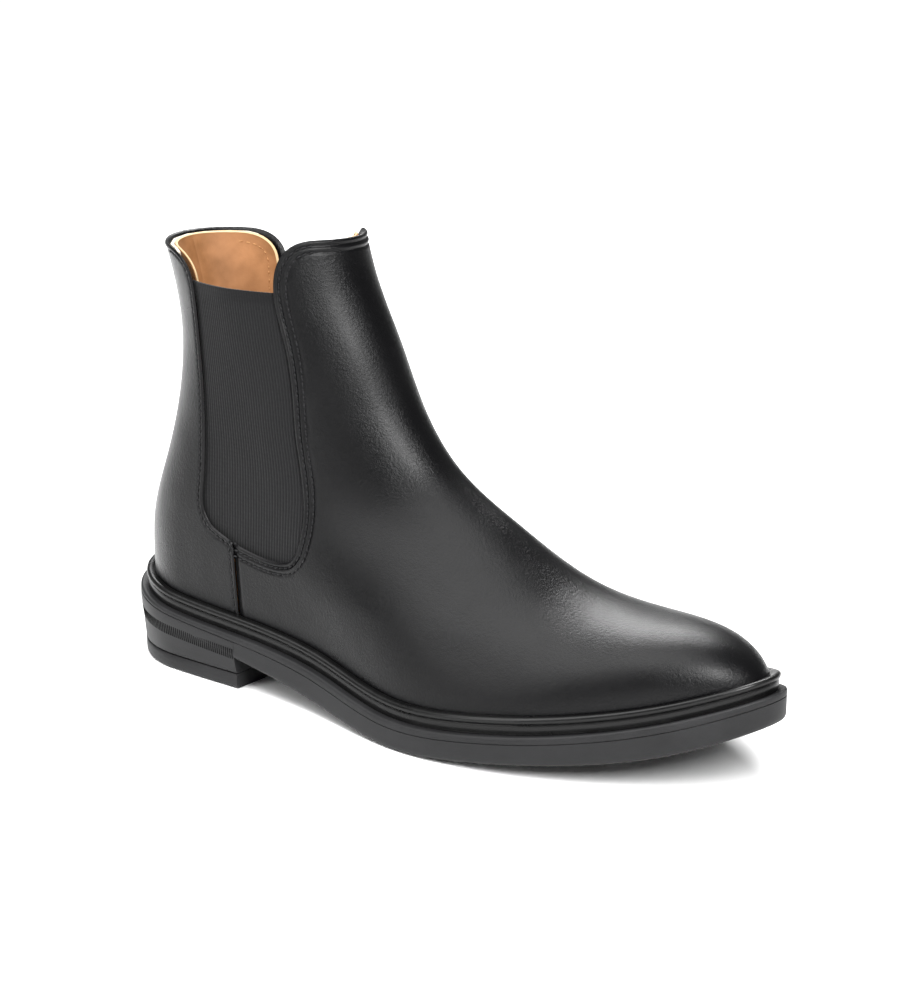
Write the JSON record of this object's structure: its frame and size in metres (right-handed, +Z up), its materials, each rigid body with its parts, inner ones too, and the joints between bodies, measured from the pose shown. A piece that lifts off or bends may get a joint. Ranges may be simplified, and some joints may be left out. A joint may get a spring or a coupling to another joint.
{
  "type": "chelsea boot",
  "caption": "Right-foot ankle boot with a one-piece leather front, elastic side gores, leather lining, stitched welt and a rubber sole with a low block heel.",
  "frame": {"origin": "on the ground under the middle of the boot's box", "axes": "+Z up, toe towards -Y, lateral (outer) side towards -X"},
  "size_m": [0.1056, 0.305, 0.1848],
  "materials": {
    "upper_leather": "smooth semi-gloss black calf",
    "lining_leather": "matt tan vegetable-tanned leather",
    "elastic": "ribbed woven elastic, charcoal",
    "sole_rubber": "matt moulded rubber",
    "welt_rubber": "polished black bead",
    "fibre_board": "pressed fibre board",
    "felt_foam": "felt, foam and woven tape",
    "cork": "cork filler",
    "steel": "plain steel"
  },
  "bodies": {
    "root": {"vamp": "upper_leather", "quarter_lateral": "upper_leather", "quarter_medial": "upper_leather", "back_strip": "upper_leather", "gore_lateral": "elastic", "gore_medial": "elastic", "vamp_lining": "lining_leather", "quarter_lining_lateral": "lining_leather", "quarter_lining_medial": "lining_leather", "sock_liner": "lining_leather", "toe_puff": "felt_foam", "heel_counter": "fibre_board", "front_topline_tape": "felt_foam", "back_topline_tape": "felt_foam", "welt": "welt_rubber", "outsole": "sole_rubber", "heel_block": "sole_rubber", "heel_top_piece": "sole_rubber", "insole_board": "fibre_board", "shank": "steel", "bottom_filler": "cork", "heel_pad": "felt_foam", "heel_nail_1": "steel", "heel_nail_2": "steel", "heel_nail_3": "steel", "heel_nail_4": "steel", "heel_nail_5": "steel", "shank_rivet_1": "steel", "shank_rivet_2": "steel"}
  },
  "joints": []
}
